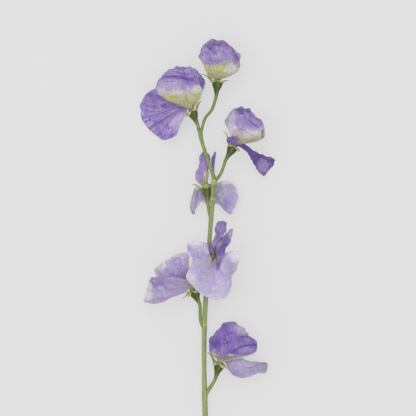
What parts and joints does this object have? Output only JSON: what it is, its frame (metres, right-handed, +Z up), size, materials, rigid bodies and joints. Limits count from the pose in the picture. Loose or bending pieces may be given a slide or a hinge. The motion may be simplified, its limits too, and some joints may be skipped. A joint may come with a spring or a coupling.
{
  "type": "sweet pea flower",
  "caption": "Cut sweet pea stem with butterfly-shaped lilac blooms, green calyces and wavy petals, lying on a surface.",
  "frame": {"origin": "middle of the underside of the bounding box, on the surface that the flower lies on", "axes": "+Y along the stem from its cut end to its tip, +Z up from the surface, +X to the right of the stem seen from above"},
  "size_m": [0.1024, 0.3612, 0.0472],
  "materials": {
    "green": "satin",
    "hood_petal": "matte",
    "pale_petal": "matte",
    "dark_petal": "matte",
    "keel_petal": "matte"
  },
  "bodies": {
    "root": {"stem": "green", "bloom_1_standard": "hood_petal", "bloom_1_wing_left": "dark_petal", "bloom_1_wing_right": "dark_petal", "bloom_1_keel": "keel_petal", "bloom_2_standard": "hood_petal", "bloom_2_wing_left": "hood_petal", "bloom_2_wing_right": "dark_petal", "bloom_2_keel": "keel_petal", "bloom_3_standard": "hood_petal", "bloom_3_wing_left": "dark_petal", "bloom_3_wing_right": "dark_petal", "bloom_3_keel": "keel_petal", "bloom_4_standard": "pale_petal", "bloom_4_wing_left": "dark_petal", "bloom_4_wing_right": "pale_petal", "bloom_4_keel": "keel_petal", "bloom_5_standard": "pale_petal", "bloom_5_wing_left": "dark_petal", "bloom_5_wing_right": "dark_petal", "bloom_5_keel": "keel_petal", "bloom_6_standard": "hood_petal", "bloom_6_wing_left": "hood_petal", "bloom_6_wing_right": "dark_petal", "bloom_6_keel": "keel_petal", "bloom_7_standard": "hood_petal", "bloom_7_wing_left": "dark_petal", "bloom_7_wing_right": "pale_petal", "bloom_7_keel": "keel_petal"}
  },
  "joints": []
}
